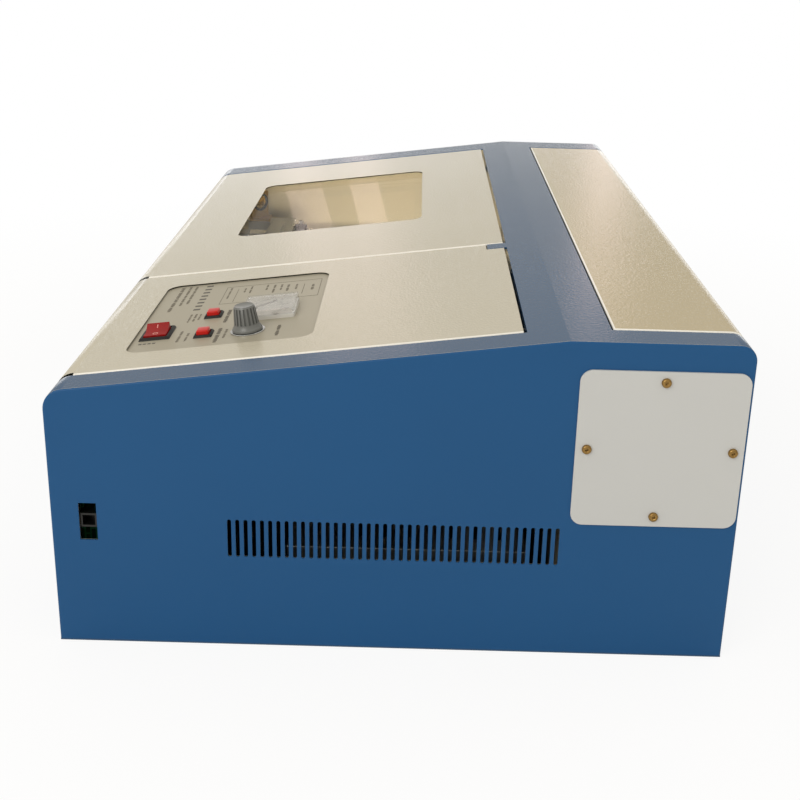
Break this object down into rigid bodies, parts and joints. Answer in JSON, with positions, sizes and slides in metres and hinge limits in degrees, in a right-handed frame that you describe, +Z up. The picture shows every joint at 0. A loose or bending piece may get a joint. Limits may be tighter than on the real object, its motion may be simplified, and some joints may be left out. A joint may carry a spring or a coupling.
{
  "type": "desktop laser cutter",
  "caption": "Flat sheet-steel cabinet with two front lids, a rear tube cover, a control panel and a gantry that moves a laser head over a bed.",
  "frame": {"origin": "middle of the case's base, on the surface it stands on", "axes": "+X is the machine's right side with the vents, -Y is its front, +Z is up"},
  "size_m": [0.8039, 0.53, 0.25],
  "materials": {
    "blue_powder_coat": "orange-peel powder coat",
    "cream_powder_coat": "orange-peel powder coat",
    "white_powder_coat": "fine powder coat",
    "zinc_steel": "zinc plated",
    "bronze_screws": "yellow zinc plated",
    "tube_glass": "clear borosilicate",
    "window_acrylic": "clear acrylic",
    "bare_aluminium": "satin",
    "black_plastic": "moulded",
    "red_plastic": "translucent, gloss",
    "grey_plastic": "moulded",
    "needle_black": "painted black",
    "white_plastic": "moulded",
    "black_rubber": "moulded",
    "green_board": "solder mask"
  },
  "bodies": {
    "case": {"bottom_pan": "blue_powder_coat", "left_side_panel": "blue_powder_coat", "right_side_panel": "blue_powder_coat", "side_cover_plate": "white_powder_coat", "side_plate_screws": "bronze_screws", "front_panel": "blue_powder_coat", "rear_panel": "blue_powder_coat", "top_frame": "blue_powder_coat", "bay_divider": "cream_powder_coat", "tube_bay_wall": "cream_powder_coat", "hinge_arms": "zinc_steel", "laser_tube": "tube_glass", "tube_end_mirrors": "bare_aluminium", "tube_saddles": "white_plastic", "tube_straps": "white_plastic", "mirror_one_mount": "bare_aluminium", "gantry_frame": "bare_aluminium", "rail_blocks": "bare_aluminium", "y_rails": "zinc_steel", "y_motor": "black_plastic", "y_belts": "black_rubber", "bed_plate": "bare_aluminium", "bed_posts": "bare_aluminium", "exhaust_duct": "zinc_steel", "fan_frame": "black_plastic", "exhaust_collar": "zinc_steel", "power_supply": "zinc_steel", "board_bracket": "zinc_steel", "controller_board": "green_board", "mains_inlet": "black_plastic", "hose_grommets": "black_rubber"},
    "left_lid": {"left_lid": "cream_powder_coat", "window_pane": "window_acrylic"},
    "right_lid": {"right_lid": "cream_powder_coat", "control_fascia": "bare_aluminium", "rocker_housing": "black_plastic", "switch_housings": "black_plastic", "dial_ring": "bare_aluminium", "potentiometer": "black_plastic", "meter_body": "black_plastic", "meter_cover": "window_acrylic"},
    "rear_cover": {"rear_cover": "cream_powder_coat"},
    "power_rocker": {"rocker": "red_plastic"},
    "laser_button": {"laser_button": "red_plastic"},
    "test_button": {"test_button": "red_plastic"},
    "current_knob": {"knob": "grey_plastic"},
    "meter_needle": {"meter_needle": "needle_black"},
    "gantry": {"cross_beam": "bare_aluminium", "mirror_two_mount": "bare_aluminium", "x_motor": "black_plastic", "x_belt": "black_rubber"},
    "carriage": {"carriage": "bare_aluminium", "laser_head": "bare_aluminium", "head_mirror_mount": "bare_aluminium"},
    "x_pulley": {"x_pulley": "bare_aluminium"},
    "x_idler": {"x_idler": "bare_aluminium"},
    "y_drive_shaft": {"y_drive_shaft": "zinc_steel"},
    "y_idlers": {"y_idlers": "zinc_steel"},
    "clamp_jaw": {"clamp_jaw": "zinc_steel"},
    "fan_impeller": {"fan_impeller": "black_plastic"}
  },
  "joints": [
    {"name": "left_lid_hinge", "type": "hinge", "parent": "case", "child": "left_lid", "pos_m": [0, 0.0825, 0.24113], "axis": [-1, 0, 0], "range_deg": [0, 85]},
    {"name": "right_lid_hinge", "type": "hinge", "parent": "case", "child": "right_lid", "pos_m": [0.2, 0.0825, 0.24113], "axis": [-1, 0, 0], "range_deg": [0, 85]},
    {"name": "rear_cover_hinge", "type": "hinge", "parent": "case", "child": "rear_cover", "pos_m": [0, 0.1605, 0.246], "axis": [1, 0, 0], "range_deg": [0, 85]},
    {"name": "power_rocker_pivot", "type": "hinge", "parent": "right_lid", "child": "power_rocker", "pos_m": [0.289, -0.19068, 0.20717], "axis": [0, -0.9917, -0.1287], "range_deg": [0, 26]},
    {"name": "laser_button_press", "type": "slide", "parent": "right_lid", "child": "laser_button", "axis": [0, 0.1287, -0.9917], "range_m": [0, 0.0025], "stiffness_N_per_m": 400},
    {"name": "test_button_press", "type": "slide", "parent": "right_lid", "child": "test_button", "axis": [0, 0.1287, -0.9917], "range_m": [0, 0.0025], "stiffness_N_per_m": 400},
    {"name": "current_knob_turn", "type": "hinge", "parent": "right_lid", "child": "current_knob", "pos_m": [0.302, -0.11781, 0.21764], "axis": [0, 0.1287, -0.9917], "range_deg": [0, 280]},
    {"name": "meter_needle_swing", "type": "hinge", "parent": "right_lid", "child": "meter_needle", "pos_m": [0.2565, -0.1173, 0.2177], "axis": [0, 0.1287, -0.9917], "range_deg": [0, 90], "stiffness_Nm_per_rad": 0.0004},
    {"name": "gantry_slide", "type": "slide", "parent": "case", "child": "gantry", "axis": [0, 1, 0], "range_m": [0, 0.22]},
    {"name": "carriage_slide", "type": "slide", "parent": "gantry", "child": "carriage", "axis": [-1, 0, 0], "range_m": [0, 0.3]},
    {"name": "x_pulley_spin", "type": "hinge", "parent": "gantry", "child": "x_pulley", "pos_m": [0.056, -0.137, 0.15], "axis": [0, 0, 1], "range_deg": [-2500, 0]},
    {"name": "x_idler_spin", "type": "hinge", "parent": "gantry", "child": "x_idler", "pos_m": [-0.307, -0.137, 0.15], "axis": [0, 0, 1], "range_deg": [-2500, 0]},
    {"name": "y_drive_spin", "type": "hinge", "parent": "case", "child": "y_drive_shaft", "pos_m": [0, 0.068, 0.086], "axis": [1, 0, 0], "range_deg": [-1420, 0]},
    {"name": "y_idler_spin", "type": "hinge", "parent": "case", "child": "y_idlers", "pos_m": [0, -0.19, 0.086], "axis": [1, 0, 0], "range_deg": [-1420, 0]},
    {"name": "clamp_jaw_slide", "type": "slide", "parent": "case", "child": "clamp_jaw", "axis": [0, -1, 0], "range_m": [0, 0.06]},
    {"name": "fan_spin", "type": "hinge", "parent": "case", "child": "fan_impeller", "pos_m": [-0.1, 0.235, 0.076], "axis": [0, 1, 0], "continuous": true}
  ],
  "couplings": [
    {"joint": "x_pulley_spin", "follows": "carriage_slide", "rad_per_m": -144.93},
    {"joint": "x_idler_spin", "follows": "carriage_slide", "rad_per_m": -144.93},
    {"joint": "y_drive_spin", "follows": "gantry_slide", "rad_per_m": -112.36},
    {"joint": "y_idler_spin", "follows": "gantry_slide", "rad_per_m": -112.36}
  ]
}
